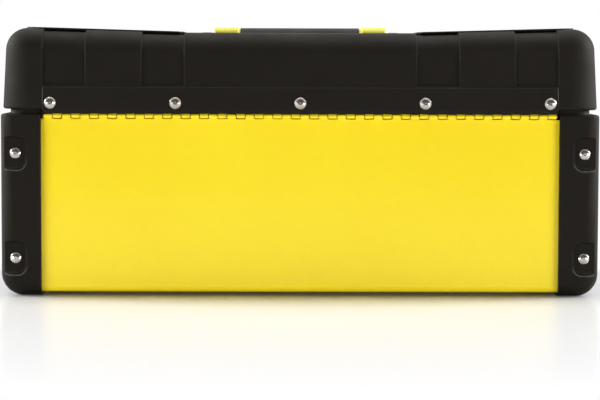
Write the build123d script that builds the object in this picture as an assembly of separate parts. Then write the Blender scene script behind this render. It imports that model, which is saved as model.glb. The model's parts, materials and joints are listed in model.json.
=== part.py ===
"""Toolbox with a lift-out tray.

A folded steel body stands between two moulded end caps. A moulded lid swings on a piano hinge along
the rear, and carries a folding handle, two covered small-parts bins and two snap latches.
Millimetres. X runs along the box, the front faces -Y, Z is up, and the feet stand on Z = 0.
Left and right are those of someone who faces the front.
"""

from build123d import *
import os
from math import radians, tan

# Overall sizes
LENGTH = 508.0  # over the end caps
DEPTH = 236.0  # over the end caps, front to rear
CAP_HEIGHT = 154.4  # ground to the shoulder of the end caps
LID_GAP = 4.0  # shoulder of the end caps to the lower edge of the lid
LID_HEIGHT = 65.0  # lower edge of the lid to its middle deck

# End caps
CAP_WRAP = 34.6  # how far a cap reaches along the front and the rear
CAP_FLANGE = 4.0  # thickness over the steel
CAP_WALL = 3.0  # thickness of the end wall and of the shoulder
CAP_FOOT = 3.1  # ground to the underside of the steel
CAP_BOTTOM_R = 19.0  # lower end corner, seen from the front
CAP_EDGE_R = 11.0  # rounding round the front and rear outlines
CAP_SHOULDER_R = 2.0
RIM_INSET = 7.0  # outside of the cap to the outside of its rim
RIM_WALL = 3.0
RIM_RISE = 7.5  # rim above the shoulder
RIM_CORNER_R = 15.0
POCKET_DEPTH = 2.8
POCKET_WIDTH = 21.2
POCKET_HEIGHT = 26.0
POCKET_DRAFT = 25.0  # slope of its sides, in degrees
POCKET_R = 6.5
END_PANEL_DEPTH = 1.2
END_PANEL_SIDE = 43.0  # from the front and the rear of the cap
END_PANEL_FOOT = 32.0  # above the ground
END_PANEL_TOP_GAP = 29.5  # below the shoulder
END_PANEL_R = 10.0

# Tray ledges inside the end caps
LEDGE_Z = 84.0
LEDGE_REACH = 22.0  # from the end wall
LEDGE_THICK = 3.0
LEDGE_SIDE_GAP = 26.0  # to the front and the rear panels
GUSSET_DROP = 42.0
GUSSET_THICK = 3.0
GUSSET_SPACING = 70.0

# Steel body
SHEET = 0.9
BEND_R = 5.0  # outside of the bends along the floor
SHEET_END_GAP = 0.5  # sheet to the rounding of a cap's inner corner
HEM_HEIGHT = 10.0
FRONT_LIP_GAP = 0.8  # front lip to the lid above it

# Rivets
RIVET_HEAD_R = 4.9
RIVET_HEAD_H = 2.3
RIVET_RIM_H = 0.5
RIVET_SHANK_R = 2.4
RIVET_BULB_R = 3.4
RIVET_BULB_H = 4.4
RIVET_BULB_STRAIGHT = 0.7  # share of the bulb's height that is straight
RIVET_DOME_OUT = 0.72  # a point half way down the dome, as a share of the head's radius
RIVET_DOME_UP = 0.68  # the same point, as a share of the dome's height
RIVET_CLEAR = 0.1
CAP_RIVET_INSET = 13.2  # from the end of the box
CAP_RIVET_LOW_Z = 32.3
CAP_RIVET_DROP = 33.2  # upper rivet below the shoulder
HINGE_RIVET_COUNT = 5
HINGE_RIVET_END = 5.7  # last rivet to the end of the hinge
HINGE_RIVET_RISE = 5.4  # above the lower edge of the lid
KEEPER_RIVET_SCALE = 0.66  # keeper rivets against the others

# Piano hinge
KNUCKLE_R = 1.75
KNUCKLE_PAIRS = 28
KNUCKLE_SLANT = 0.42  # sideways lean of each cut
KNUCKLE_GAP = 0.9
KNUCKLE_PROUD = 0.4  # pin line outside the face of the steel
HINGE_PIN_R = 1.0
HINGE_PIN_OVERHANG = 0.6
RUNNING_CLEAR = 0.05
FIXED_CLEAR = 0.02
HINGE_END_GAP = 2.3  # hinge to the end caps
HINGE_SLOT_GAP = 0.7
LEAF_HEIGHT = 18.1

# Lid
LID_INSET_X = 0.35  # lid inside the outline of the caps, at its lower edge
LID_INSET_Y = 1.0
LID_DRAFT = 3.0
LID_CORNER_R = 24.0
LID_TOP_R = 19.0
LID_EDGE_R = 2.0  # rounding of the lower edge at the ends
LID_WALL = 2.6
DECK_FLAT = 197.2  # length of the level deck in the middle
DECK_SLOPE = 1.6  # rise of the deck towards each end, in degrees
DECK_BLEND_R = 600.0
BAND_HEIGHT = 19.1  # lower edge of the lid to the top of the band
BAND_END_GAP = 1.5
BAND_CHAMFER_IN = 1.3
BAND_CHAMFER_UP = 3.5
BAND_TOP_CHAMFER = 0.4
SKIRT_GAP = 0.3  # knuckles to the lower edge of the band

# Upright recesses in the front and rear of the lid
RECESS_DEPTH = 2.0
RECESS_WIDTH = 35.5
RECESS_BOTTOM = 20.2  # above the lower edge of the lid
RECESS_INNER_X = 98.6  # start of the recess beside the middle panel
RECESS_END_GAP = 1.7  # outer recess to the inner edge of the caps, seen from the rear
RECESS_EDGE_R = 1.0
RECESS_RUN = 26.0  # how far a recess runs onto the deck, from the rear or the front

# Handle
HANDLE_PIVOT_Y = 6.0
HANDLE_PIVOT_DROP = 3.2  # pivot line below the deck
HANDLE_REACH = 52.0  # pivot line to the middle of the grip
HANDLE_LENGTH = 153.0
ARM_WIDTH = 22.0
ARM_R = 9.0
ARM_EDGE_R = 2.0
GRIP_CORE_R = 6.5
GRIP_R = 9.0
GRIP_END_GAP = 0.2
GRIP_FIT = 0.05
HANDLE_PIN_R = 3.0
HANDLE_PIN_IN = 15.0  # pin inside an arm
HANDLE_PIN_OUT = 8.0  # pin past the side of the handle
HANDLE_BOSS_R = 4.4
POCKET_SIDE_GAP = 2.5  # handle to the ends of its pocket
POCKET_REAR_GAP = 5.0
POCKET_FINGER_GAP = 18.0  # room for fingers before the grip
POCKET_FLOOR_GAP = 10.0  # grip to the floor of its pocket
POCKET_CORNER_R = 8.0

# Small-parts bins, measured along the sloping deck from the end of the level one
BIN_START = 10.0
BIN_END_GAP = 7.5  # bin to the free edge of its cover
BIN_SIDE_GAP = 31.0  # bin to the front and rear of the lid
BIN_DEPTH = 26.0
BIN_WALL = 2.0
BIN_FLANGE = 4.0
BIN_FLANGE_THICK = 1.6
BIN_CORNER_R = 6.0
BIN_FIT = 0.2
BIN_DIVIDER_DROP = 3.0

# Covers of the bins
COVER_SINK = 0.9  # bins and covers below the deck
COVER_START = 4.5
COVER_END_GAP = 20.0  # free edge to the end of the box
COVER_SIDE_GAP = 19.0  # cover to the front and rear of the lid
COVER_THICK = 1.5
COVER_GAP = 0.3
COVER_CORNER_R = 14.0
COVER_RIB = 1.6
COVER_RIB_GAP = 1.0
COVER_EDGE_GAP = 0.4  # cover to the edge of its seat
COVER_WEB = 0.8  # thickness beside the knuckles
COVER_KNUCKLE_R = 1.2
COVER_PIN_R = 0.7
COVER_PIN_U = 2.3
COVER_PIN_W = 0.6
COVER_GROOVE = 1.0
COVER_GROOVE_START = 0.3
COVER_GROOVE_END = 5.0
LUG_WIDTH = 8.0
LUG_END_GAP = 8.0  # middle of the end lugs to the side of the cover
LUG_GAP = 2.0
LUG_ROOT = 1.0  # lug sunk into the floor of the groove

# Latches
LATCH_SHEET = 1.4
LATCH_WIDTH = 28.0
LATCH_OFF_BAND = 0.6  # closed latch to the band behind it
LATCH_PIN_R = 1.5
LATCH_PIN_RISE = 20.5  # above the lower edge of the lid
LATCH_RELEASE = 5.0  # degrees that the latch hangs open
LATCH_TAB_OUT = 0.6
LATCH_TAB_DROP = 11.0
LATCH_TAB_LENGTH = 2.4
EAR_R = 3.8
EAR_THICK = 2.9
EAR_GAP = 0.5
KEEPER_SHEET = 1.2
KEEPER_WIDTH = 30.0
KEEPER_DROP = 12.0  # top of the lip below the shoulder of the caps
KEEPER_LIP_REACH = 3.1
KEEPER_HEIGHT = 16.0
KEEPER_RIVET_DROP = 10.0
KEEPER_RIVET_SPACING = 18.0
HOOK_CLEAR = 0.3

# Tray
TRAY_END_GAP = 15.0  # tray to the end walls, at its top
TRAY_SIDE_GAP = 11.1  # tray to the front and rear panels
TRAY_TOP_GAP = 11.5  # rim of the tray below the shoulder of the caps
TRAY_WALL = 2.4
TRAY_FLOOR = 2.4
TRAY_DRAFT = 2.0
TRAY_CORNER_R = 14.0
TRAY_RIM = 3.0
TRAY_RIM_THICK = 2.4
TRAY_DIVIDER_DROP = 8.0
TRAY_REAR_DIVIDER_X = 79.0
TRAY_FRONT_DIVIDER_X = 110.0
TRAY_HANDLE_LENGTH = 124.0
TRAY_HANDLE_THICK = 8.0
TRAY_HANDLE_RISE = 22.0
TRAY_HANDLE_BAR = 9.0
TRAY_SLOT_LENGTH = 92.0
TRAY_SLOT_HEIGHT = 22.0

# Places worked out from the sizes above
END_X = LENGTH / 2
CAP_Y = DEPTH / 2
CAP_INNER_X = END_X - CAP_WRAP
PANEL_Y = CAP_Y - CAP_FLANGE
SHELL_END_X = END_X - CAP_WALL - BEND_R - SHEET_END_GAP
RIM_TOP_Z = CAP_HEIGHT + RIM_RISE
CAP_RIVET_HIGH_Z = CAP_HEIGHT - CAP_RIVET_DROP
KEEPER_LIP_Z = CAP_HEIGHT - KEEPER_DROP
HINGE_Z = CAP_HEIGHT - KNUCKLE_R
HINGE_Y = PANEL_Y + KNUCKLE_PROUD
HINGE_END_X = CAP_INNER_X - HINGE_END_GAP
PANEL_TOP_Z = HINGE_Z - KNUCKLE_R - HINGE_SLOT_GAP
LEAF_BOTTOM_Z = HINGE_Z + KNUCKLE_R + HINGE_SLOT_GAP
SKIRT_Z = HINGE_Z + KNUCKLE_R + SKIRT_GAP
FRONT_LIP_Z = SKIRT_Z - FRONT_LIP_GAP
LID_EDGE_Z = CAP_HEIGHT + LID_GAP
LID_END_X = END_X - LID_INSET_X
LID_Y = CAP_Y - LID_INSET_Y
DECK_Z = LID_EDGE_Z + LID_HEIGHT
DECK_END_X = DECK_FLAT / 2
BAND_TOP_Z = LID_EDGE_Z + BAND_HEIGHT
BAND_END_X = CAP_INNER_X - BAND_END_GAP
HINGE_RIVET_Z = LID_EDGE_Z + HINGE_RIVET_RISE
RECESS_OUTER_X = CAP_INNER_X - RECESS_END_GAP - RECESS_WIDTH
LATCH_X = RECESS_INNER_X + RECESS_WIDTH / 2
COVER_END = END_X - COVER_END_GAP - DECK_END_X
COVER_WIDTH = 2 * (LID_Y - COVER_SIDE_GAP)
LUG_Y = COVER_WIDTH / 2 - LUG_END_GAP
BIN_LENGTH = COVER_END - BIN_END_GAP - BIN_START
BIN_WIDTH = 2 * (LID_Y - BIN_SIDE_GAP)
HANDLE_PIVOT_Z = DECK_Z - HANDLE_PIVOT_DROP
HANDLE_GRIP_Y = HANDLE_PIVOT_Y - HANDLE_REACH
LATCH_PLATE_Y = -(LID_Y + LATCH_OFF_BAND + LATCH_SHEET / 2)
LATCH_BARREL_R = LATCH_PIN_R + RUNNING_CLEAR + LATCH_SHEET
LATCH_PIN_Y = LATCH_PLATE_Y - LATCH_BARREL_R + LATCH_SHEET / 2
LATCH_PIN_Z = LID_EDGE_Z + LATCH_PIN_RISE
TRAY_TOP_Z = CAP_HEIGHT - TRAY_TOP_GAP
TRAY_LENGTH = 2 * (END_X - CAP_WALL - TRAY_END_GAP)
TRAY_WIDTH = 2 * (PANEL_Y - SHEET - TRAY_SIDE_GAP)
BEYOND = 40.0  # how far a cutting block runs past what it cuts
TOUCH = 0.01  # how near counts as touching


def block(x0, x1, y0, y1, z0, z1):
    """A box between two corners."""
    middle = Pos((x0 + x1) / 2, (y0 + y1) / 2, (z0 + z1) / 2)
    return middle * Box(x1 - x0, y1 - y0, z1 - z0)


def along_x(sketch, x0, x1):
    """A sketch of (y, z) points, extruded from x0 to x1."""
    return Pos(x0, 0, 0) * extrude(Plane.YZ * sketch, amount=x1 - x0)


def along_y(sketch, y0, y1):
    """A sketch of (x, z) points, extruded from y0 to y1."""
    return Pos(0, y1, 0) * extrude(Plane.XZ * sketch, amount=y1 - y0)


def rod_x(radius, x0, x1, y, z):
    """A round bar along X."""
    return Pos((x0 + x1) / 2, y, z) * Rot(0, 90, 0) * Cylinder(radius, x1 - x0)


def rod_y(radius, x, y0, y1, z):
    """A round bar along Y."""
    return Pos(x, (y0 + y1) / 2, z) * Rot(90, 0, 0) * Cylinder(radius, y1 - y0)


def other_side(shape):
    """The same piece at the left end of the box."""
    return mirror(shape, about=Plane.YZ)


def to_front(shape):
    """The same piece on the front instead of the rear."""
    return mirror(shape, about=Plane.XZ)


# Rivets


def rivet(grip, scale=1.0):
    """A domed rivet with its head on +Y, clamping material of thickness grip below Y = 0."""
    head_r = RIVET_HEAD_R * scale
    head_h = RIVET_HEAD_H * scale
    rim_h = RIVET_RIM_H * scale
    shank_r = RIVET_SHANK_R * scale
    bulb_r = RIVET_BULB_R * scale
    bulb_h = RIVET_BULB_H * scale
    shoulder = bulb_h * RIVET_BULB_STRAIGHT
    dome_mid = (head_r * RIVET_DOME_OUT, rim_h + (head_h - rim_h) * RIVET_DOME_UP)
    profile = Curve() + [
        ThreePointArc((0, head_h), dome_mid, (head_r, rim_h)),
        Polyline(
            (head_r, rim_h),
            (head_r, 0),
            (shank_r, 0),
            (shank_r, -grip),
            (bulb_r, -grip),
            (bulb_r, -grip - shoulder),
            (shank_r, -grip - bulb_h),
            (0, -grip - bulb_h),
            (0, head_h),
        ),
    ]
    return revolve(make_face(profile), axis=Axis.Y)


def rivet_hole(x, z, scale=1.0):
    """The bar that drills a rivet's hole through the rear."""
    radius = RIVET_SHANK_R * scale + RIVET_CLEAR
    return rod_y(radius, x, PANEL_Y - BEYOND, PANEL_Y + BEYOND, z)


def cap_rivet_places():
    """(x, z) of the rivets that hold the right end cap."""
    x = END_X - CAP_RIVET_INSET
    return [(x, CAP_RIVET_LOW_Z), (x, CAP_RIVET_HIGH_Z)]


def hinge_rivet_places():
    """(x, z) of the rivets along the hinge."""
    first = HINGE_RIVET_END - HINGE_END_X
    spacing = -2 * first / (HINGE_RIVET_COUNT - 1)
    return [(first + n * spacing, HINGE_RIVET_Z) for n in range(HINGE_RIVET_COUNT)]


def keeper_rivet_places():
    """(x, z) of the rivets of the right keeper."""
    half = KEEPER_RIVET_SPACING / 2
    z = KEEPER_LIP_Z - KEEPER_RIVET_DROP
    return [(LATCH_X - half, z), (LATCH_X + half, z)]


def cap_rivets():
    """The four rivets of the right end cap."""
    floor_y = CAP_Y - POCKET_DEPTH
    grip = CAP_FLANGE - POCKET_DEPTH + SHEET
    rear = [Pos(x, floor_y, z) * rivet(grip) for x, z in cap_rivet_places()]
    return rear + [to_front(one) for one in rear]


def hinge_rivets():
    """The rivets that hold the hinge's upper leaf to the lid."""
    grip = LID_Y - PANEL_Y + SHEET
    return [Pos(x, LID_Y, z) * rivet(grip) for x, z in hinge_rivet_places()]


def keeper_rivets():
    """The two rivets of the right keeper."""
    grip = KEEPER_SHEET + SHEET
    face_y = PANEL_Y + KEEPER_SHEET
    rear = [Pos(x, face_y, z) * rivet(grip, KEEPER_RIVET_SCALE) for x, z in keeper_rivet_places()]
    return [to_front(one) for one in rear]


# Piano hinge


def knuckle_cuts(first, wide_at_top):
    """Slanted blocks that cut every second knuckle out of the hinge line.

    The count starts at the +X end, where the body has the first knuckle.
    """
    pitch = HINGE_END_X / KNUCKLE_PAIRS
    half = pitch / 2 - KNUCKLE_GAP / 2
    lean = KNUCKLE_SLANT if wide_at_top else -KNUCKLE_SLANT
    reach = KNUCKLE_R + HINGE_SLOT_GAP
    top = half + lean
    bottom = half - lean
    cuts = []
    for n in range(KNUCKLE_PAIRS):
        x = HINGE_END_X - (2 * n + first + 0.5) * pitch
        low = HINGE_Z - reach
        high = HINGE_Z + reach
        outline = Polygon(
            (x - bottom, low), (x + bottom, low), (x + top, high), (x - top, high), align=None
        )
        cuts.append(along_y(outline, HINGE_Y - BEYOND, HINGE_Y + BEYOND))
    return cuts


def knuckles(first, wide_at_top, neck_z):
    """Half of the hinge's knuckles, each with a neck up or down to neck_z."""
    low, high = sorted((HINGE_Z, neck_z))
    eye = Pos(HINGE_Y, HINGE_Z) * Circle(KNUCKLE_R)
    neck_middle = Pos(PANEL_Y - SHEET / 2, (low + high) / 2)
    neck = neck_middle * Rectangle(SHEET, high - low)
    bore = Pos(HINGE_Y, HINGE_Z) * Circle(HINGE_PIN_R + RUNNING_CLEAR)
    line = along_x(eye + neck - bore, -HINGE_END_X, HINGE_END_X)
    return [line & cut for cut in knuckle_cuts(first, wide_at_top)]


def hinge_pin():
    """The steel wire through all the knuckles."""
    end = HINGE_END_X + HINGE_PIN_OVERHANG
    return rod_x(HINGE_PIN_R, -end, end, HINGE_Y, HINGE_Z)


def lid_hinge_leaf():
    """The hinge's upper leaf, riveted inside the lid."""
    leaf = block(
        -HINGE_END_X, HINGE_END_X, PANEL_Y - SHEET, PANEL_Y, LEAF_BOTTOM_Z, LEAF_BOTTOM_Z + LEAF_HEIGHT
    )
    leaf += knuckles(1, True, LEAF_BOTTOM_Z)
    return leaf - [rivet_hole(x, z) for x, z in hinge_rivet_places()]


# Steel body


def floor_outline(inset):
    """(y, z) outline of the steel body's outside, moved in by inset, open at the top."""
    half = PANEL_Y - inset
    low = CAP_FOOT + inset
    radius = BEND_R - inset
    high = PANEL_TOP_Z
    path = FilletPolyline((-half, high), (-half, low), (half, low), (half, high), radius=radius)
    return make_face(Curve() + [path, Line((half, high), (-half, high))])


def body_shell():
    """Front, floor and rear in one folded sheet, with half of the hinge's knuckles along the rear."""
    channel = floor_outline(0) - floor_outline(SHEET)
    shell = along_x(channel, -SHELL_END_X, SHELL_END_X)
    notch = block(END_X - CAP_BOTTOM_R, END_X, -CAP_Y, CAP_Y, 0, CAP_BOTTOM_R)
    shell -= [notch, other_side(notch)]
    lip = block(-HINGE_END_X, HINGE_END_X, -PANEL_Y, SHEET - PANEL_Y, PANEL_TOP_Z - SHEET, FRONT_LIP_Z)
    hem = block(
        -HINGE_END_X, HINGE_END_X, SHEET - PANEL_Y, 2 * SHEET - PANEL_Y, FRONT_LIP_Z - HEM_HEIGHT, FRONT_LIP_Z
    )
    shell += [lip, hem]
    shell += knuckles(0, False, PANEL_TOP_Z - SHEET)
    holes = [rivet_hole(x, z) for x, z in cap_rivet_places()]
    holes += [other_side(hole) for hole in holes]
    keeper_holes = [to_front(rivet_hole(x, z, KEEPER_RIVET_SCALE)) for x, z in keeper_rivet_places()]
    holes += [to_front(hole) for hole in holes]
    return shell - holes - keeper_holes - [other_side(hole) for hole in keeper_holes]


# End caps


def cap_outside():
    """The right end cap's outer form, before it is hollowed."""
    cap = block(CAP_INNER_X, END_X, -CAP_Y, CAP_Y, 0, CAP_HEIGHT)
    low_end = cap.edges().filter_by(Axis.Y).group_by(Axis.X)[-1].group_by(Axis.Z)[0]
    cap = fillet(low_end, CAP_BOTTOM_R)

    def on_outline(edge):
        on_face = abs(abs(edge.center().Y) - CAP_Y) < TOUCH
        return on_face and edge.center().X > CAP_INNER_X + TOUCH and edge.center().Z < CAP_HEIGHT - TOUCH

    cap = fillet(cap.edges().filter_by(on_outline), CAP_EDGE_R)
    top = cap.edges().group_by(Axis.Z)[-1]
    return fillet(top.filter_by(lambda edge: edge.center().X > CAP_INNER_X + TOUCH), CAP_SHOULDER_R)


def cap_inside():
    """The hollow of the right end cap, which the steel body fills at the open end."""
    hollow = block(
        CAP_INNER_X - BEYOND, END_X - CAP_WALL, -PANEL_Y, PANEL_Y, CAP_FOOT, CAP_HEIGHT - CAP_WALL
    )
    low_end = hollow.edges().filter_by(Axis.Y).group_by(Axis.X)[-1].group_by(Axis.Z)[0]
    hollow = fillet(low_end, CAP_BOTTOM_R - CAP_WALL)

    def on_outline(edge):
        on_face = abs(abs(edge.center().Y) - PANEL_Y) < TOUCH
        inner = edge.center().X < CAP_INNER_X - BEYOND + TOUCH
        return on_face and not inner and edge.center().Z < CAP_HEIGHT - CAP_WALL - TOUCH

    return fillet(hollow.edges().filter_by(on_outline), BEND_R)


def rim_outline(inset, z0, z1):
    """A block over the rounded outline of the caps' rims, moved in by inset."""
    outline = RectangleRounded(
        LENGTH - 2 * (RIM_INSET + inset), DEPTH - 2 * (RIM_INSET + inset), RIM_CORNER_R - inset
    )
    return Pos(0, 0, z0) * extrude(outline, amount=z1 - z0)


def cap_pocket(z):
    """The recess round a rivet at height z, on the rear."""
    floor = Plane(origin=(END_X, CAP_Y - POCKET_DEPTH, z), x_dir=(-1, 0, 0), z_dir=(0, 1, 0))
    outline = floor * RectangleRounded(2 * POCKET_WIDTH, POCKET_HEIGHT, POCKET_R)
    return extrude(outline, amount=2 * POCKET_DEPTH, taper=-POCKET_DRAFT)


def tray_ledge():
    """The shelf that carries one end of the tray, with its gussets."""
    wall_x = END_X - CAP_WALL
    edge_x = wall_x - LEDGE_REACH
    half = PANEL_Y - LEDGE_SIDE_GAP
    under = LEDGE_Z - LEDGE_THICK
    ledge = block(edge_x, END_X - CAP_WALL / 2, -half, half, under, LEDGE_Z)
    gusset = make_face(Polyline((edge_x, under), (wall_x, under), (wall_x, under - GUSSET_DROP), close=True))
    for n in (-1, 0, 1):
        y = n * GUSSET_SPACING
        ledge += along_y(gusset, y - GUSSET_THICK / 2, y + GUSSET_THICK / 2)
    return ledge


def right_end_cap():
    """One moulded end of the box, with its rim, tray ledge and rivet pockets."""
    shoulder_z = CAP_HEIGHT - CAP_WALL
    rim = rim_outline(0, shoulder_z, RIM_TOP_Z)
    rim &= block(CAP_INNER_X, END_X, -CAP_Y, CAP_Y, shoulder_z, RIM_TOP_Z)
    mouth = rim_outline(RIM_WALL, shoulder_z - CAP_WALL, RIM_TOP_Z + BEYOND)
    cap = cap_outside() + rim - cap_inside() - mouth
    cap += tray_ledge()
    pockets = [cap_pocket(z) for x, z in cap_rivet_places()]
    pockets += [rivet_hole(x, z) for x, z in cap_rivet_places()]
    cap -= pockets
    cap -= [to_front(pocket) for pocket in pockets]
    panel_high = CAP_HEIGHT - END_PANEL_TOP_GAP
    panel_size = DEPTH - 2 * END_PANEL_SIDE, panel_high - END_PANEL_FOOT
    panel = Pos(0, (panel_high + END_PANEL_FOOT) / 2) * RectangleRounded(*panel_size, END_PANEL_R)
    return cap - along_x(panel, END_X - END_PANEL_DEPTH, END_X + BEYOND)


# Lid


def roof(drop):
    """Everything above the deck, when the deck is lowered by drop."""
    far = LENGTH
    run = far - DECK_END_X
    middle = DECK_Z - drop
    end = middle + run * tan(radians(DECK_SLOPE))
    profile = FilletPolyline(
        (-far, end), (-DECK_END_X, middle), (DECK_END_X, middle), (far, end), radius=DECK_BLEND_R
    )
    sky = DECK_Z + LENGTH
    face = make_face(Curve() + [profile, Polyline((far, end), (far, sky), (-far, sky), (-far, end))])
    return along_y(face, -DEPTH, DEPTH)


def lid_form(inset):
    """The lid's drafted outer form, moved in by inset at the sides and at the top."""
    outline = RectangleRounded(2 * (LID_END_X - inset), 2 * (LID_Y - inset), LID_CORNER_R - inset)
    form = extrude(Pos(0, 0, LID_EDGE_Z) * outline, amount=LID_HEIGHT + BEYOND / 2, taper=LID_DRAFT)
    form -= roof(inset)

    def on_brow(edge):
        middle = edge.center()
        high = middle.Z > DECK_Z - inset - TOUCH
        seam = abs(middle.X) < LID_END_X / 2 and abs(middle.Y) < LID_Y / 2
        return high and not seam

    return fillet(form.edges().filter_by(on_brow), LID_TOP_R - inset)


def recess_blocks(grow, depth):
    """What lies over the floors of the eight recesses, each grown by grow at its sides and foot."""
    low = LID_EDGE_Z + RECESS_BOTTOM - grow
    start = LID_Y - RECESS_RUN - grow
    kept = lid_form(depth)
    found = []
    for inner_x in (RECESS_INNER_X, RECESS_OUTER_X):
        x0 = inner_x - grow
        x1 = inner_x + RECESS_WIDTH + grow
        one = block(x0, x1, start, LID_Y + BEYOND, low, DECK_Z + BEYOND) - kept
        pair = [one, other_side(one)]
        found += pair + [to_front(half) for half in pair]
    return found


def band():
    """The upright strip along the foot of the rear wall, which covers the hinge's leaf."""
    profile = Polygon(
        (PANEL_Y, SKIRT_Z),
        (LID_Y - BAND_CHAMFER_IN, SKIRT_Z),
        (LID_Y, SKIRT_Z + BAND_CHAMFER_UP),
        (LID_Y, BAND_TOP_Z - BAND_TOP_CHAMFER),
        (LID_Y - BAND_TOP_CHAMFER, BAND_TOP_Z),
        (PANEL_Y, BAND_TOP_Z),
        align=None,
    )
    return along_x(profile, -BAND_END_X, BAND_END_X)


def handle_pocket(grow):
    """The hollow that the folded handle lies in, grown by grow."""
    half = HANDLE_LENGTH / 2 + POCKET_SIDE_GAP + grow
    rear = HANDLE_PIVOT_Y + ARM_R + POCKET_REAR_GAP + grow
    front = HANDLE_GRIP_Y - GRIP_R - POCKET_FINGER_GAP - grow
    floor = HANDLE_PIVOT_Z - GRIP_R - POCKET_FLOOR_GAP - grow
    outline = Pos(0, (rear + front) / 2) * RectangleRounded(2 * half, rear - front, POCKET_CORNER_R + grow)
    return Pos(0, 0, floor) * extrude(outline, amount=DECK_Z + BEYOND - floor)


def handle_bosses():
    """The bosses behind the ends of the handle's pocket, which hold its pins."""
    inner = HANDLE_LENGTH / 2 + POCKET_SIDE_GAP
    outer = HANDLE_LENGTH / 2 + HANDLE_PIN_OUT
    boss = rod_x(HANDLE_BOSS_R, inner, outer + LID_WALL, HANDLE_PIVOT_Y, HANDLE_PIVOT_Z)
    return [boss, other_side(boss)]


def on_deck(shape):
    """A piece made in deck coordinates, set on the right-hand slope.

    There x runs up the slope from the end of the level deck, y is the box's own, and z is off the
    seat that is sunk into the deck for the bin and its cover.
    """
    return Pos(DECK_END_X, 0, DECK_Z - COVER_SINK) * Rot(0, -DECK_SLOPE, 0) * shape


def bin_outline(inset, z0, z1):
    """A block over a bin's outline, moved in by inset, in deck coordinates."""
    outline = RectangleRounded(
        BIN_LENGTH - 2 * inset, BIN_WIDTH - 2 * inset, max(BIN_CORNER_R - inset, BIN_WALL)
    )
    return Pos(BIN_START + BIN_LENGTH / 2, 0, z0) * extrude(outline, amount=z1 - z0)


def bin_opening():
    """The hole and rebate that a bin drops into, in deck coordinates."""
    hole = bin_outline(-BIN_FIT, -BIN_DEPTH, BEYOND)
    return hole + bin_outline(-BIN_FLANGE - BIN_FIT, -BIN_FLANGE_THICK, BEYOND)


def cover_outline(grow):
    """The cover's outline, grown by grow, in deck coordinates."""
    start = COVER_START - grow
    end = COVER_END + grow
    outline = Pos((start + end) / 2, 0) * Rectangle(end - start, COVER_WIDTH + 2 * grow)
    return fillet(outline.vertices().group_by(Axis.X)[-1], COVER_CORNER_R + grow)


def cover_seat():
    """The shallow seat that a cover sinks into, with the groove for its hinge, in deck coordinates."""
    half = COVER_WIDTH / 2 + COVER_EDGE_GAP
    groove = block(COVER_GROOVE_START, COVER_GROOVE_END, -half, half, -COVER_GROOVE, BEYOND)
    return groove + extrude(cover_outline(COVER_EDGE_GAP), amount=BEYOND)


def cover_lugs():
    """The three lugs that hold a cover's pin, in deck coordinates."""
    lugs = []
    for n in (-1, 0, 1):
        y0 = n * LUG_Y - LUG_WIDTH / 2
        y1 = y0 + LUG_WIDTH
        eye = rod_y(COVER_KNUCKLE_R, COVER_PIN_U, y0, y1, COVER_PIN_W)
        x0 = COVER_PIN_U - COVER_KNUCKLE_R
        x1 = COVER_PIN_U + COVER_KNUCKLE_R
        foot = block(x0, x1, y0, y1, -COVER_GROOVE - LUG_ROOT, COVER_PIN_W)
        lugs.append(eye + foot)
    return lugs


def cover_pin_bar(radius):
    """A bar along a cover's pin, in deck coordinates."""
    end = LUG_Y + LUG_WIDTH / 2
    return rod_y(radius, COVER_PIN_U, -end, end, COVER_PIN_W)


def latch_ears():
    """The two ears that hold the right latch's pin, on the front of the lid."""
    root_y = -(LID_Y - RECESS_DEPTH - LID_WALL)
    ears = []
    eye = Pos(LATCH_PIN_Y, LATCH_PIN_Z) * Circle(EAR_R)
    stem = Pos((LATCH_PIN_Y + root_y) / 2, LATCH_PIN_Z) * Rectangle(root_y - LATCH_PIN_Y, 2 * EAR_R)
    for side in (-1, 1):
        inner = LATCH_X + side * (LATCH_WIDTH / 2 + EAR_GAP)
        outer = inner + side * EAR_THICK
        ears.append(along_x(eye + stem, min(inner, outer), max(inner, outer)))
    return ears


def latch_pin_bar(radius):
    """A bar along the right latch's pin."""
    half = LATCH_WIDTH / 2 + EAR_GAP + EAR_THICK
    return rod_x(radius, LATCH_X - half, LATCH_X + half, LATCH_PIN_Y, LATCH_PIN_Z)


def handle_pin_bar(radius):
    """A bar along the right pin of the handle."""
    edge = HANDLE_LENGTH / 2
    return rod_x(radius, edge - HANDLE_PIN_IN, edge + HANDLE_PIN_OUT, HANDLE_PIVOT_Y, HANDLE_PIVOT_Z)


def lid_outside():
    """The lid's outer form with its recesses, rounded along their upright sides and its lower edge."""
    form = lid_form(0)
    skin = form.shell()
    form = fillet(form.edges().group_by(Axis.Z)[0], LID_EDGE_R)
    form -= recess_blocks(0, RECESS_DEPTH)
    sides = []
    for inner_x in (RECESS_INNER_X, RECESS_OUTER_X):
        sides += [inner_x, inner_x + RECESS_WIDTH]

    def on_side(edge):
        x = abs(edge.center().X)
        upright = abs(edge.tangent_at(0.5).X) < TOUCH
        beside = min(abs(x - side) for side in sides) < TOUCH
        return upright and beside and skin.distance_to(edge @ 0.5) < TOUCH

    return fillet(form.edges().filter_by(on_side), RECESS_EDGE_R)


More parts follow.
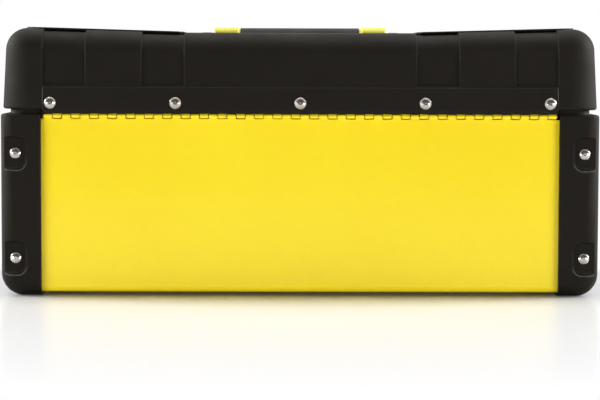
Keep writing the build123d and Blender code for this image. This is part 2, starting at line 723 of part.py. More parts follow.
def lid_shell():
    """The moulded lid: recessed walls, hinge band, handle pocket, bin openings and latch ears."""
    outside = lid_outside()
    outside += [band(), to_front(band())]
    hollow = lid_form(LID_WALL) - roof(LID_WALL + COVER_SINK) - handle_pocket(LID_WALL)
    hollow -= recess_blocks(LID_WALL, RECESS_DEPTH + LID_WALL)
    leaf_slot = block(
        -HINGE_END_X - HINGE_SLOT_GAP,
        HINGE_END_X + HINGE_SLOT_GAP,
        LID_Y - RECESS_RUN,
        PANEL_Y,
        SKIRT_Z - HINGE_SLOT_GAP,
        LEAF_BOTTOM_Z + LEAF_HEIGHT + HINGE_SLOT_GAP,
    )
    lid = outside - hollow - leaf_slot
    lid += handle_bosses()
    lid -= handle_pocket(0)
    opening = on_deck(cover_seat() + bin_opening())
    lid -= [opening, other_side(opening)]
    lugs = [on_deck(lug) for lug in cover_lugs()]
    ears = latch_ears()
    lid += lugs + [other_side(lug) for lug in lugs]
    lid += ears + [other_side(ear) for ear in ears]
    bars = [
        on_deck(cover_pin_bar(COVER_PIN_R + FIXED_CLEAR)),
        latch_pin_bar(LATCH_PIN_R + FIXED_CLEAR),
        handle_pin_bar(HANDLE_PIN_R + FIXED_CLEAR),
    ]
    holes = [rivet_hole(x, z) for x, z in hinge_rivet_places()]
    return lid - bars - [other_side(bar) for bar in bars] - holes


# Small-parts bins and their covers


def right_bin():
    """A moulded bin with four compartments, hanging by its flange in the deck."""
    tub = bin_outline(0, -BIN_DEPTH, 0) + bin_outline(-BIN_FLANGE, -BIN_FLANGE_THICK, 0)
    tub -= bin_outline(BIN_WALL, BIN_WALL - BIN_DEPTH, BEYOND)
    middle = BIN_START + BIN_LENGTH / 2
    half = BIN_WALL / 2
    across = block(middle - half, middle + half, -BIN_WIDTH / 2, BIN_WIDTH / 2, -BIN_DEPTH, -BIN_DIVIDER_DROP)
    along = block(BIN_START, BIN_START + BIN_LENGTH, -half, half, -BIN_DEPTH, -BIN_DIVIDER_DROP)
    dividers = (across + along) & bin_outline(half, -BIN_DEPTH, 0)
    return on_deck(tub + dividers)


def right_cover():
    """The flat cover of a bin, hinged beside the handle."""
    low = COVER_GAP
    cover = Pos(0, 0, low) * extrude(cover_outline(0), amount=COVER_THICK)
    rib_out = bin_outline(BIN_WALL + COVER_RIB_GAP, low - COVER_RIB, low)
    cover += rib_out - bin_outline(BIN_WALL + COVER_RIB_GAP + COVER_RIB, -BEYOND, BEYOND)
    y0 = LUG_WIDTH / 2 + LUG_GAP
    y1 = LUG_Y - LUG_WIDTH / 2 - LUG_GAP
    knuckle = rod_y(COVER_KNUCKLE_R, COVER_PIN_U, y0, y1, COVER_PIN_W)
    knuckle += block(COVER_PIN_U, COVER_START + COVER_THICK, y0, y1, low, low + COVER_WEB)
    cover += [knuckle, to_front(knuckle)]
    return on_deck(cover - cover_pin_bar(COVER_PIN_R + RUNNING_CLEAR))


# Handle


def handle_bail():
    """The two arms and the bar between them, folded towards the front."""
    edge = HANDLE_LENGTH / 2
    middle = Pos((HANDLE_PIVOT_Y + HANDLE_GRIP_Y) / 2, HANDLE_PIVOT_Z)
    outline = middle * SlotOverall(HANDLE_REACH + 2 * ARM_R, 2 * ARM_R)
    arm = along_x(outline, edge - ARM_WIDTH, edge)
    rims = arm.edges().filter_by(lambda edge: abs(edge.tangent_at(0.5).X) < 0.5)
    arm = fillet(rims, ARM_EDGE_R) - handle_pin_bar(HANDLE_PIN_R + RUNNING_CLEAR)
    inner = edge - ARM_WIDTH / 2
    bar = rod_x(GRIP_CORE_R, -inner, inner, HANDLE_GRIP_Y, HANDLE_PIVOT_Z)
    return arm + bar + other_side(arm)


def handle_grip():
    """The soft sleeve round the handle's bar."""
    half = HANDLE_LENGTH / 2 - ARM_WIDTH - GRIP_END_GAP
    sleeve = rod_x(GRIP_R, -half, half, HANDLE_GRIP_Y, HANDLE_PIVOT_Z)
    bore_r = GRIP_CORE_R + GRIP_FIT
    return sleeve - rod_x(bore_r, -HANDLE_LENGTH, HANDLE_LENGTH, HANDLE_GRIP_Y, HANDLE_PIVOT_Z)


# Latches


def right_keeper():
    """The steel lip on the front of the body that a latch hooks under."""
    face = -(PANEL_Y + KEEPER_SHEET / 2)
    lip_z = KEEPER_LIP_Z - KEEPER_SHEET / 2
    path = Polyline((face, KEEPER_LIP_Z - KEEPER_HEIGHT), (face, lip_z), (-PANEL_Y - KEEPER_LIP_REACH, lip_z))
    plate = along_x(trace(path, KEEPER_SHEET), LATCH_X - KEEPER_WIDTH / 2, LATCH_X + KEEPER_WIDTH / 2)
    holes = [to_front(rivet_hole(x, z, KEEPER_RIVET_SCALE)) for x, z in keeper_rivet_places()]
    return plate - holes


def right_latch():
    """The pressed steel latch: an eye round its pin, a hook and a finger tab. It hangs just released."""
    shelf_z = KEEPER_LIP_Z - KEEPER_SHEET - HOOK_CLEAR - LATCH_SHEET / 2
    hook_y = -(PANEL_Y + KEEPER_SHEET + HOOK_CLEAR + LATCH_SHEET)
    path = Polyline(
        (LATCH_PLATE_Y, LATCH_PIN_Z),
        (LATCH_PLATE_Y, shelf_z),
        (hook_y, shelf_z),
        (LATCH_PLATE_Y - LATCH_TAB_OUT, shelf_z - LATCH_TAB_DROP + LATCH_TAB_LENGTH),
        (LATCH_PLATE_Y - 2 * LATCH_TAB_OUT, shelf_z - LATCH_TAB_DROP),
    )
    eye = Pos(LATCH_PIN_Y, LATCH_PIN_Z) * Circle(LATCH_BARREL_R)
    bore = Pos(LATCH_PIN_Y, LATCH_PIN_Z) * Circle(LATCH_PIN_R + RUNNING_CLEAR)
    profile = trace(path, LATCH_SHEET) + eye - bore
    latch = along_x(profile, LATCH_X - LATCH_WIDTH / 2, LATCH_X + LATCH_WIDTH / 2)
    pivot = Pos(0, LATCH_PIN_Y, LATCH_PIN_Z)
    return pivot * Rot(-LATCH_RELEASE, 0, 0) * pivot.inverse() * latch


# Tray


def tray_form(inset, floor_z):
    """The tray's drafted form, moved in by inset, from its top down to floor_z."""
    outline = RectangleRounded(TRAY_LENGTH - 2 * inset, TRAY_WIDTH - 2 * inset, TRAY_CORNER_R - inset)
    top = Plane(origin=(0, 0, TRAY_TOP_Z), x_dir=(1, 0, 0), z_dir=(0, 0, -1))
    return extrude(top * outline, amount=TRAY_TOP_Z - floor_z, taper=TRAY_DRAFT)


def tray_slot():
    """The finger slot below the bar of the tray's carrying plate."""
    z = TRAY_TOP_Z + TRAY_HANDLE_RISE - TRAY_HANDLE_BAR - TRAY_SLOT_HEIGHT / 2
    slot = Pos(0, z) * SlotOverall(TRAY_SLOT_LENGTH, TRAY_SLOT_HEIGHT)
    return along_y(slot, -TRAY_HANDLE_THICK, TRAY_HANDLE_THICK)


def tray_handle():
    """The carrying plate along the middle of the tray."""
    half = TRAY_HANDLE_THICK / 2
    top = TRAY_TOP_Z + TRAY_HANDLE_RISE
    floor = LEDGE_Z + TRAY_FLOOR / 2
    plate = block(-TRAY_HANDLE_LENGTH / 2, TRAY_HANDLE_LENGTH / 2, -half, half, floor, top)
    upper_corners = plate.edges().filter_by(Axis.Y).group_by(Axis.Z)[-1]
    return fillet(upper_corners, TRAY_HANDLE_RISE / 2)


def tray():
    """The lift-out tray, which stands on the ledges of the end caps."""
    half = TRAY_WALL / 2
    rim = RectangleRounded(
        TRAY_LENGTH + 2 * TRAY_RIM, TRAY_WIDTH + 2 * TRAY_RIM, TRAY_CORNER_R + TRAY_RIM
    )
    tub = tray_form(0, LEDGE_Z)
    tub += Pos(0, 0, TRAY_TOP_Z - TRAY_RIM_THICK) * extrude(rim, amount=TRAY_RIM_THICK)
    tub -= tray_form(TRAY_WALL, LEDGE_Z + TRAY_FLOOR)
    low = LEDGE_Z + TRAY_FLOOR / 2
    high = TRAY_TOP_Z - TRAY_DIVIDER_DROP
    far_x = TRAY_LENGTH / 2
    far_y = TRAY_WIDTH / 2
    walls = block(-far_x, far_x, -half, half, low, high)
    for x in (-TRAY_REAR_DIVIDER_X, TRAY_REAR_DIVIDER_X):
        walls += block(x - half, x + half, 0, far_y, low, high)
    x = TRAY_FRONT_DIVIDER_X
    walls += block(x - half, x + half, -far_y, 0, low, high)
    walls &= tray_form(half, LEDGE_Z)
    return tub + (walls + tray_handle() - tray_slot())


def build():
    """Every node's name and its shape or list of solids."""
    right_rivets = cap_rivets()
    right_keeper_rivets = keeper_rivets()
    right_cap = right_end_cap()
    keeper = right_keeper()
    latch = right_latch()
    organiser = right_bin()
    cover = right_cover()
    cover_pin = on_deck(cover_pin_bar(COVER_PIN_R))
    handle_pin = handle_pin_bar(HANDLE_PIN_R)
    latch_pin = latch_pin_bar(LATCH_PIN_R)
    return {
        "body_shell": body_shell(),
        "right_end_cap": right_cap,
        "left_end_cap": other_side(right_cap),
        "right_cap_rivets": right_rivets,
        "left_cap_rivets": [other_side(one) for one in right_rivets],
        "hinge_pin": hinge_pin(),
        "right_keeper": keeper,
        "left_keeper": other_side(keeper),
        "right_keeper_rivets": right_keeper_rivets,
        "left_keeper_rivets": [other_side(one) for one in right_keeper_rivets],
        "lid_shell": lid_shell(),
        "lid_hinge_leaf": lid_hinge_leaf(),
        "hinge_rivets": hinge_rivets(),
        "right_organizer_bin": organiser,
        "left_organizer_bin": other_side(organiser),
        "right_organizer_cover": cover,
        "left_organizer_cover": other_side(cover),
        "right_cover_pin": cover_pin,
        "left_cover_pin": other_side(cover_pin),
        "handle_bail": handle_bail(),
        "handle_grip": handle_grip(),
        "right_handle_pin": handle_pin,
        "left_handle_pin": other_side(handle_pin),
        "right_latch": latch,
        "left_latch": other_side(latch),
        "right_latch_pin": latch_pin,
        "left_latch_pin": other_side(latch_pin),
        "tray": tray(),
    }


def main():
    os.makedirs("parts", exist_ok=True)
    for name, shape in build().items():
        solids = shape if isinstance(shape, list) else [shape]
        solids = [solid for one in solids for solid in one.solids()]
        export_step(Compound(children=solids), f"parts/{name}.step")


main()
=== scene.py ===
"""Looks of the toolbox: finishes, soft studio light, pale floor and the camera behind the box."""

import json
from math import atan, radians

import bpy
from mathutils import Euler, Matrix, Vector

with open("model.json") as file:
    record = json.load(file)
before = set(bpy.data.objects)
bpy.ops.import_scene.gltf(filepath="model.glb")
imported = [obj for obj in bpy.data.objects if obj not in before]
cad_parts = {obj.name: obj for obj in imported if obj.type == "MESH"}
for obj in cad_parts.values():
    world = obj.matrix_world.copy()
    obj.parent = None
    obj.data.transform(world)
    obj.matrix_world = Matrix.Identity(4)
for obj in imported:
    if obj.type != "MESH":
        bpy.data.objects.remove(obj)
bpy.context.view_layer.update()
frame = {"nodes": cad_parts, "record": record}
nodes = frame["nodes"]

# Camera, behind the box and level with its lid
IMAGE_WIDTH = 600
FOCAL_PIXELS = 2111.0
CAMERA_X = 0.0093
CAMERA_Y = 1.9
CAMERA_Z = 0.204
CAMERA_PITCH = 3.91  # degrees down
CAMERA_YAW = -0.295  # degrees
CAMERA_ROLL = 0.16  # degrees

# Floor and world; lengths in metres
FLOOR_SIZE = 12.0
FLOOR_WHITE = (0.86, 0.86, 0.86, 1)
FLOOR_GLOSS_SHARE = 0.28
FLOOR_GLOSS_ROUGHNESS = 0.14
FLOOR_NEAR = 0.17  # from the middle to where the floor starts to fade into the white backdrop
FLOOR_FAR = 0.62
FLOOR_STRETCH = (0.7, 1, 1)  # the fade runs around the box, which is longer than it is deep
WORLD_LIGHT = 0.05
ROOM_DARK = 0.1  # reflections of the room behind the camera
ROOM_START = 0.0  # share of +Y in a direction, where the room starts and is full
ROOM_END = 0.55
TABLE_START = 1.0  # behind the box, where reflections of the floor start to fade into the dark room
TABLE_END = 1.6

# Soft lights: name, place, size, watts. Each faces the middle of the box.
LIGHTS = (
    ("top_light", (0.0, -0.22, 1.9), (2.4, 0.7), 31.0),
    ("left_light", (1.8, 1.5, 0.085), (1.4, 0.16), 25.5),
    ("right_light", (-1.8, 1.5, 0.085), (1.4, 0.16), 25.5),
    ("left_rim_light", (1.8, -0.35, 0.75), (1.0, 0.9), 36.0),
    ("right_rim_light", (-1.8, -0.35, 0.75), (1.0, 0.9), 36.0),
    ("front_light", (0.0, -2.2, 1.2), (2.2, 1.2), 6.0),
)
LIGHT_AIM = Vector((0, 0, 0.12))

# Rounding of sharp edges; lengths in metres
WELD_DISTANCE = 0.00002  # joins the corners that the mesh splits
BEVEL_ANGLE = radians(35)
BEVEL_SEGMENTS = 2
EDGE_SOFTNESS = 0.0011  # reach of the shading that turns over an edge
EDGE_SAMPLES = 6

# Yellow paint and yellow plastic
PAINT = (0.92, 0.70, 0.006, 1)
PAINT_LIGHT = (0.95, 0.75, 0.010, 1)
PAINT_ROUGH = (0.30, 0.40)
PAINT_SPECULAR = 0.4
PAINT_COAT = 0.4
PAINT_COAT_ROUGHNESS = 0.12
HANDLE = (0.93, 0.82, 0.030, 1)
HANDLE_LIGHT = (0.96, 0.88, 0.055, 1)
HANDLE_ROUGH = (0.34, 0.44)

# Black mouldings
BLACK = (0.0050, 0.0040, 0.0024, 1)
BLACK_LIGHT = (0.0066, 0.0054, 0.0036, 1)
# Pale tone of moulded edges, partly wear and partly a painted highlight
EDGE_WEAR_AND_HIGHLIGHT_TONE = (0.12, 0.112, 0.102, 1)
CAP_SCUFF_AND_HIGHLIGHT_TONE = (0.18, 0.168, 0.153, 1)  # edges of the end caps, partly scuffs where the box stands and knocks, partly a painted highlight
WARM_SHEEN = (1.0, 0.92, 0.84, 1)
GRAIN_DEPTH = 0.00018

# Paler finish on moulded edges, partly wear and partly a painted highlight: its width in metres, the turn of
# the edge (as a cosine) where it is full and where it ends, and its share on edges that look level, that look
# up (most painted highlight), and that lie high on the box
PLAIN_WEAR_AND_HIGHLIGHT = {"width": 0.0011, "full": 0.8, "none": 0.98, "level": 0.33, "upward": 1.0, "high": 1.0}
LID_WEAR_AND_HIGHLIGHT = {"width": 0.0014, "full": 0.9, "none": 0.99, "level": 1.0, "upward": 0.32, "high": 1.0}
CAP_WEAR_AND_HIGHLIGHT = {"width": 0.0022, "full": 0.9, "none": 0.99, "level": 0.08, "upward": 1.0, "high": 0.15}
HIGH_START = 0.115  # metres above the ground, where an edge starts to count as high and does so fully; high on the end caps the pale edge fades, a painted shade under the lid
HIGH_END = 0.145
LOOKS_DOWN = -0.15  # upward part of the normal on edges that look down, level and up
LOOKS_LEVEL = 0.0
LOOKS_UP = 0.3
CORNER_REACH = 0.003  # inner corners have walls within this distance, and get no pale edge
CORNER_SHUT = 0.8  # openness of the surface where the finish starts and is full
CORNER_OPEN = 0.95


# Node helpers


def new_material(name):
    """An empty node material with its output and one Principled shader."""
    material = bpy.data.materials.new(name)
    material.use_nodes = True
    tree = material.node_tree
    tree.nodes.clear()
    output = tree.nodes.new("ShaderNodeOutputMaterial")
    shader = tree.nodes.new("ShaderNodeBsdfPrincipled")
    tree.links.new(shader.outputs["BSDF"], output.inputs["Surface"])
    place = tree.nodes.new("ShaderNodeTexCoord")
    return material, tree, shader, place.outputs["Object"]


def noise(tree, place, scale, detail=2.0, roughness=0.5, stretch=(1, 1, 1)):
    """A noise texture in metres; stretch multiplies the scale along each axis."""
    mapping = tree.nodes.new("ShaderNodeMapping")
    mapping.inputs["Scale"].default_value = stretch
    tree.links.new(place, mapping.inputs["Vector"])
    texture = tree.nodes.new("ShaderNodeTexNoise")
    texture.inputs["Scale"].default_value = scale
    texture.inputs["Detail"].default_value = detail
    texture.inputs["Roughness"].default_value = roughness
    tree.links.new(mapping.outputs["Vector"], texture.inputs["Vector"])
    return texture.outputs["Fac"]


def spread(tree, value, low, high, start=0.3, end=0.7):
    """A value mapped from start..end to low..high, and held at low or high beyond them."""
    ramp = tree.nodes.new("ShaderNodeMapRange")
    ramp.inputs["From Min"].default_value = start
    ramp.inputs["From Max"].default_value = end
    ramp.inputs["To Min"].default_value = low
    ramp.inputs["To Max"].default_value = high
    tree.links.new(value, ramp.inputs["Value"])
    return ramp.outputs["Result"]


def times(tree, first, second):
    """The product of two values."""
    node = tree.nodes.new("ShaderNodeMath")
    node.operation = "MULTIPLY"
    tree.links.new(first, node.inputs[0])
    tree.links.new(second, node.inputs[1])
    return node.outputs["Value"]


def colours(tree, value, first, second):
    """A colour that runs from first to second with a 0 to 1 value."""
    mix = tree.nodes.new("ShaderNodeMix")
    mix.data_type = "RGBA"
    mix.inputs["A"].default_value = first
    mix.inputs["B"].default_value = second
    tree.links.new(value, mix.inputs["Factor"])
    return mix.outputs["Result"]


def bump(tree, value, shader, strength, depth, under=None):
    """Adds a bump of that depth in metres to a shader, over another normal if there is one."""
    node = tree.nodes.new("ShaderNodeBump")
    node.inputs["Strength"].default_value = strength
    node.inputs["Distance"].default_value = depth
    tree.links.new(value, node.inputs["Height"])
    if under is not None:
        tree.links.new(under, node.inputs["Normal"])
    tree.links.new(node.outputs["Normal"], shader.inputs["Normal"])


def soft_edges(tree, radius):
    """Normals that turn over sharp edges within that radius in metres."""
    node = tree.nodes.new("ShaderNodeBevel")
    node.samples = EDGE_SAMPLES
    node.inputs["Radius"].default_value = radius
    return node.outputs["Normal"]


def axis_of(tree, vector, axis):
    """The X, Y or Z of a vector."""
    axes = tree.nodes.new("ShaderNodeSeparateXYZ")
    tree.links.new(vector, axes.inputs["Vector"])
    return axes.outputs[axis]


def edge_wear_and_highlight(tree, place, wear_and_highlight):
    """How pale the edges are, partly wear and partly a painted highlight: up to 1 on edges, 0 on faces, in
    inner corners and on edges that look down.
    """
    turned = soft_edges(tree, wear_and_highlight["width"])
    face = tree.nodes.new("ShaderNodeNewGeometry")
    along = tree.nodes.new("ShaderNodeVectorMath")
    along.operation = "DOT_PRODUCT"
    tree.links.new(turned, along.inputs[0])
    tree.links.new(face.outputs["Normal"], along.inputs[1])
    own = tree.nodes.new("ShaderNodeVectorTransform")
    own.vector_type = "NORMAL"
    own.convert_from, own.convert_to = "WORLD", "OBJECT"
    tree.links.new(turned, own.inputs["Vector"])
    looks = axis_of(tree, own.outputs["Vector"], "Z")
    edge = spread(tree, along.outputs["Value"], 1.0, 0.0, wear_and_highlight["full"], wear_and_highlight["none"])
    # Painted highlight and shade: none on edges that look down, more on edges that look up, less high up
    # where the caps lie in the lid's shade
    not_down = spread(tree, looks, 0.0, 1.0, LOOKS_DOWN, LOOKS_LEVEL)
    share = spread(tree, looks, wear_and_highlight["level"], wear_and_highlight["upward"], LOOKS_LEVEL, LOOKS_UP)
    high = spread(tree, axis_of(tree, place, "Z"), 1.0, wear_and_highlight["high"], HIGH_START, HIGH_END)
    air = tree.nodes.new("ShaderNodeAmbientOcclusion")
    air.only_local = True
    air.samples = EDGE_SAMPLES
    air.inputs["Distance"].default_value = CORNER_REACH
    outer = spread(tree, air.outputs["AO"], 0.0, 1.0, CORNER_SHUT, CORNER_OPEN)
    worn_and_lit = times(tree, times(tree, edge, not_down), times(tree, share, high))
    return times(tree, worn_and_lit, outer)


# Materials


def yellow_paint():
    """Gloss enamel on sheet steel, with a faint orange peel."""
    material, tree, shader, place = new_material("yellow_paint")
    cloud = noise(tree, place, scale=6.0, detail=3.0)
    tone = colours(tree, spread(tree, cloud, 0.0, 1.0), PAINT, PAINT_LIGHT)
    tree.links.new(tone, shader.inputs["Base Color"])
    smear = noise(tree, place, scale=30.0, detail=4.0, roughness=0.6, stretch=(0.3, 1, 1))
    tree.links.new(spread(tree, smear, *PAINT_ROUGH), shader.inputs["Roughness"])
    shader.inputs["Specular IOR Level"].default_value = PAINT_SPECULAR
    shader.inputs["Coat Weight"].default_value = PAINT_COAT
    shader.inputs["Coat Roughness"].default_value = PAINT_COAT_ROUGHNESS
    peel = noise(tree, place, scale=420.0)
    bump(tree, peel, shader, strength=0.12, depth=0.00012)
    return material


def moulded_plastic(
    name,
    dark,
    light,
    rough,
    grain_scale=1500.0,
    grain=0.22,
    specular=0.3,
    wear_and_highlight=PLAIN_WEAR_AND_HIGHLIGHT,
    worn_and_lit_tone=EDGE_WEAR_AND_HIGHLIGHT_TONE,
):
    """Black moulded plastic with a fine eroded grain, slightly uneven sheen and paler edges, partly worn and
    partly a painted highlight.
    """
    material, tree, shader, place = new_material(name)
    cloud = noise(tree, place, scale=14.0, detail=4.0, roughness=0.6)
    tone = colours(tree, spread(tree, cloud, 0.0, 1.0), dark, light)
    turned = soft_edges(tree, EDGE_SOFTNESS)
    # Pale edges, partly wear and partly a painted highlight
    worn_and_lit = colours(tree, edge_wear_and_highlight(tree, place, wear_and_highlight), dark, worn_and_lit_tone)
    tree.links.new(tone, worn_and_lit.node.inputs["A"])
    tree.links.new(worn_and_lit, shader.inputs["Base Color"])
    sheen = noise(tree, place, scale=45.0, detail=3.0)
    tree.links.new(spread(tree, sheen, *rough), shader.inputs["Roughness"])
    shader.inputs["Specular IOR Level"].default_value = specular
    shader.inputs["Specular Tint"].default_value = WARM_SHEEN
    fine = noise(tree, place, scale=grain_scale, roughness=0.6)
    bump(tree, fine, shader, strength=grain, depth=GRAIN_DEPTH, under=turned)
    return material


def plated_metal(name, first, second, rough, stretch=(1, 1, 1), depth=0.00003):
    """Bright plated steel with fine drawing lines."""
    material, tree, shader, place = new_material(name)
    shader.inputs["Metallic"].default_value = 1.0
    cloud = noise(tree, place, scale=90.0, detail=3.0)
    tree.links.new(colours(tree, spread(tree, cloud, 0.0, 1.0), first, second), shader.inputs["Base Color"])
    lines = noise(tree, place, scale=900.0, stretch=stretch)
    tree.links.new(spread(tree, lines, *rough), shader.inputs["Roughness"])
    bump(tree, lines, shader, strength=0.12, depth=depth)
    return material


def handle_plastic():
    """Smooth yellow moulded plastic."""
    material, tree, shader, place = new_material("handle_plastic")
    cloud = noise(tree, place, scale=20.0, detail=3.0)
    tone = colours(tree, spread(tree, cloud, 0.0, 1.0), HANDLE, HANDLE_LIGHT)
    tree.links.new(tone, shader.inputs["Base Color"])
    sheen = noise(tree, place, scale=60.0, detail=3.0)
    tree.links.new(spread(tree, sheen, *HANDLE_ROUGH), shader.inputs["Roughness"])
    bump(tree, noise(tree, place, scale=700.0), shader, strength=0.15, depth=0.00012)
    return material


def grey(level):
    """A neutral colour."""
    return (level, level, level, 1)


MATERIALS = {
    "yellow_paint": yellow_paint(),
    "black_plastic": moulded_plastic(
        "black_plastic", BLACK, BLACK_LIGHT, rough=(0.65, 0.75), specular=0.2, wear_and_highlight=LID_WEAR_AND_HIGHLIGHT
    ),
    "cover_plastic": moulded_plastic("cover_plastic", BLACK, BLACK_LIGHT, rough=(0.50, 0.60), specular=0.165),
    "cap_plastic": moulded_plastic(
        "cap_plastic",
        BLACK,
        BLACK_LIGHT,
        rough=(0.54, 0.64),
        specular=0.165,
        wear_and_highlight=CAP_WEAR_AND_HIGHLIGHT,
        worn_and_lit_tone=CAP_SCUFF_AND_HIGHLIGHT_TONE,
    ),
    "bin_plastic": moulded_plastic(
        "bin_plastic", grey(0.012), grey(0.016), rough=(0.36, 0.46), grain_scale=900.0, grain=0.12
    ),
    "tray_plastic": moulded_plastic(
        "tray_plastic", grey(0.010), grey(0.014), rough=(0.38, 0.5), grain_scale=1100.0, grain=0.16
    ),
    "rivet_metal": plated_metal(
        "rivet_metal", (0.52, 0.48, 0.44, 1), (0.64, 0.60, 0.56, 1), rough=(0.17, 0.27), depth=0.00002
    ),
    # Darker than plain drawn steel, so the gaps between the hinge knuckles look dark: partly dark steel,
    # partly painted shade
    "pin_steel": plated_metal(
        "pin_steel", (0.28, 0.275, 0.27, 1), (0.38, 0.375, 0.37, 1), rough=(0.34, 0.46), stretch=(0.1, 1, 1)
    ),
    "latch_steel": plated_metal(
        "latch_steel",
        (0.52, 0.51, 0.49, 1),
        (0.60, 0.59, 0.57, 1),
        rough=(0.24, 0.38),
        stretch=(1, 0.08, 0.08),
    ),
    "handle_plastic": handle_plastic(),
    "grip_rubber": moulded_plastic(
        "grip_rubber",
        (0.036, 0.034, 0.032, 1),
        (0.046, 0.044, 0.042, 1),
        rough=(0.6, 0.72),
        grain_scale=1200.0,
        grain=0.3,
        specular=0.25,
    ),
}

# The end caps take the slot black_plastic, with paler edges than the lid's, partly scuffs and partly a
# painted highlight
END_CAPS = ("left_end_cap", "right_end_cap")

# Width of the rounding on each node's sharp edges, in metres
EDGE_WIDTH = {
    "left_end_cap": 0.0006,
    "right_end_cap": 0.0006,
    "lid_shell": 0.0006,
    "left_organizer_cover": 0.00015,
    "right_organizer_cover": 0.00015,
    "left_organizer_bin": 0.0003,
    "right_organizer_bin": 0.0003,
    "tray": 0.0005,
    "left_latch": 0.0002,
    "right_latch": 0.0002,
    "left_keeper": 0.0002,
    "right_keeper": 0.0002,
}


def dress_nodes():
    """Gives every CAD node its finish."""
    for part in frame["record"]["subparts"]:
        node = nodes[part["node"]]
        node.data.materials.clear()
        finish = "cap_plastic" if part["node"] in END_CAPS else part["material_slot"]
        node.data.materials.append(MATERIALS[finish])


def round_edges():
    """Welds each listed node's split corners and rounds its sharp edges."""
    for name, width in EDGE_WIDTH.items():
        node = nodes[name]
        weld = node.modifiers.new("weld", "WELD")
        weld.merge_threshold = WELD_DISTANCE
        bevel = node.modifiers.new("round", "BEVEL")
        bevel.width = width
        bevel.segments = BEVEL_SEGMENTS
        bevel.limit_method = "ANGLE"
        bevel.angle_limit = BEVEL_ANGLE
        bevel.use_clamp_overlap = True
        bevel.harden_normals = False


# Stage


def seen_rays(tree):
    """1 for rays from the camera and through or off shiny things, 0 for the rest; and the kinds of ray."""
    path = tree.nodes.new("ShaderNodeLightPath")
    seen = path.outputs["Is Camera Ray"]
    for ray in ("Is Glossy Ray", "Is Transmission Ray"):
        either = tree.nodes.new("ShaderNodeMath")
        either.operation = "MAXIMUM"
        tree.links.new(seen, either.inputs[0])
        tree.links.new(path.outputs[ray], either.inputs[1])
        seen = either.outputs["Value"]
    return seen, path.outputs


def make_floor():
    """A pale floor with a faint soft reflection, which fades into a white backdrop.

    Far behind the box, reflections show it as dark as the room there.
    """
    bpy.ops.mesh.primitive_plane_add(size=FLOOR_SIZE, location=(0, 0, 0))
    floor = bpy.context.object
    floor.name = "floor"
    material = bpy.data.materials.new("floor")
    material.use_nodes = True
    tree = material.node_tree
    tree.nodes.clear()
    output = tree.nodes.new("ShaderNodeOutputMaterial")
    matt = tree.nodes.new("ShaderNodeBsdfDiffuse")
    matt.inputs["Color"].default_value = FLOOR_WHITE
    gloss = tree.nodes.new("ShaderNodeBsdfGlossy")
    gloss.inputs["Roughness"].default_value = FLOOR_GLOSS_ROUGHNESS
    mix = tree.nodes.new("ShaderNodeMixShader")
    mix.inputs["Fac"].default_value = FLOOR_GLOSS_SHARE
    tree.links.new(matt.outputs["BSDF"], mix.inputs[1])
    tree.links.new(gloss.outputs["BSDF"], mix.inputs[2])
    place = tree.nodes.new("ShaderNodeTexCoord")
    stretch = tree.nodes.new("ShaderNodeMapping")
    stretch.inputs["Scale"].default_value = FLOOR_STRETCH
    tree.links.new(place.outputs["Object"], stretch.inputs["Vector"])
    distance = tree.nodes.new("ShaderNodeVectorMath")
    distance.operation = "LENGTH"
    tree.links.new(stretch.outputs["Vector"], distance.inputs[0])
    far = spread(tree, distance.outputs["Value"], 0.0, 1.0, FLOOR_NEAR, FLOOR_FAR)
    seen, rays = seen_rays(tree)
    behind = spread(tree, axis_of(tree, place.outputs["Object"], "Y"), 0.0, 1.0, TABLE_START, TABLE_END)
    dark = times(tree, behind, rays["Is Glossy Ray"])
    white = tree.nodes.new("ShaderNodeEmission")
    tree.links.new(spread(tree, dark, 1.0, ROOM_DARK, 0.0, 1.0), white.inputs["Strength"])
    fade = tree.nodes.new("ShaderNodeMixShader")
    tree.links.new(times(tree, far, seen), fade.inputs["Fac"])
    tree.links.new(mix.outputs["Shader"], fade.inputs[1])
    tree.links.new(white.outputs["Emission"], fade.inputs[2])
    tree.links.new(fade.outputs["Shader"], output.inputs["Surface"])
    floor.data.materials.append(material)


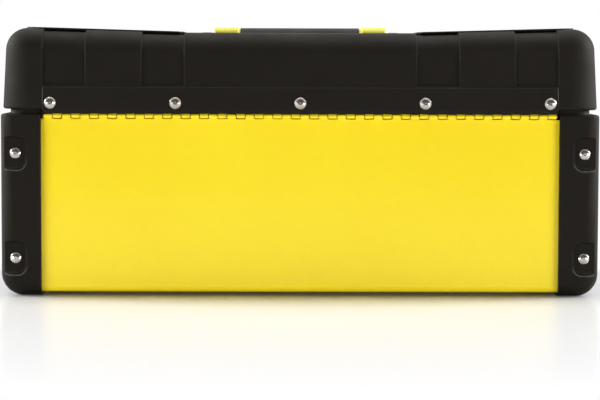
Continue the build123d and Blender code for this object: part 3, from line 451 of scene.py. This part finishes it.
def make_world():
    """White to the eye; in reflections white above and behind the box and darker behind the camera."""
    world = bpy.data.worlds.new("studio")
    bpy.context.scene.world = world
    world.use_nodes = True
    tree = world.node_tree
    tree.nodes.clear()
    output = tree.nodes.new("ShaderNodeOutputWorld")
    background = tree.nodes.new("ShaderNodeBackground")
    background.inputs["Color"].default_value = (1, 1, 1, 1)
    place = tree.nodes.new("ShaderNodeTexCoord")
    room = spread(tree, axis_of(tree, place.outputs["Generated"], "Y"), 1.0, ROOM_DARK, ROOM_START, ROOM_END)
    seen, rays = seen_rays(tree)
    strength = WORLD_LIGHT
    for share, value in ((seen, room), (rays["Is Camera Ray"], 1.0)):
        mix = tree.nodes.new("ShaderNodeMix")
        for name, source in (("A", strength), ("B", value), ("Factor", share)):
            if isinstance(source, float):
                mix.inputs[name].default_value = source
            else:
                tree.links.new(source, mix.inputs[name])
        strength = mix.outputs["Result"]
    tree.links.new(strength, background.inputs["Strength"])
    tree.links.new(background.outputs["Background"], output.inputs["Surface"])


def make_lights():
    """Large soft boxes round the object."""
    for name, place, size, watts in LIGHTS:
        data = bpy.data.lights.new(name, "AREA")
        data.shape = "RECTANGLE"
        data.size, data.size_y = size
        data.energy = watts
        lamp = bpy.data.objects.new(name, data)
        lamp.location = place
        lamp.rotation_euler = (LIGHT_AIM - lamp.location).to_track_quat("-Z", "Y").to_euler()
        bpy.context.scene.collection.objects.link(lamp)


def make_camera():
    """The photograph's view: straight behind the box, a little above the middle."""
    data = bpy.data.cameras.new("camera")
    data.sensor_fit = "HORIZONTAL"
    data.angle = 2 * atan(IMAGE_WIDTH / 2 / FOCAL_PIXELS)
    camera = bpy.data.objects.new("camera", data)
    camera.location = (CAMERA_X, CAMERA_Y, CAMERA_Z)
    turn = Euler((radians(90 - CAMERA_PITCH), 0, radians(180 + CAMERA_YAW)), "XYZ").to_matrix()
    roll = Euler((0, 0, radians(CAMERA_ROLL)), "XYZ").to_matrix()
    camera.rotation_euler = (turn @ roll).to_euler()
    bpy.context.scene.collection.objects.link(camera)
    bpy.context.scene.camera = camera


dress_nodes()
round_edges()
make_floor()
make_world()
make_lights()
make_camera()
bpy.context.scene.view_settings.view_transform = "Standard"
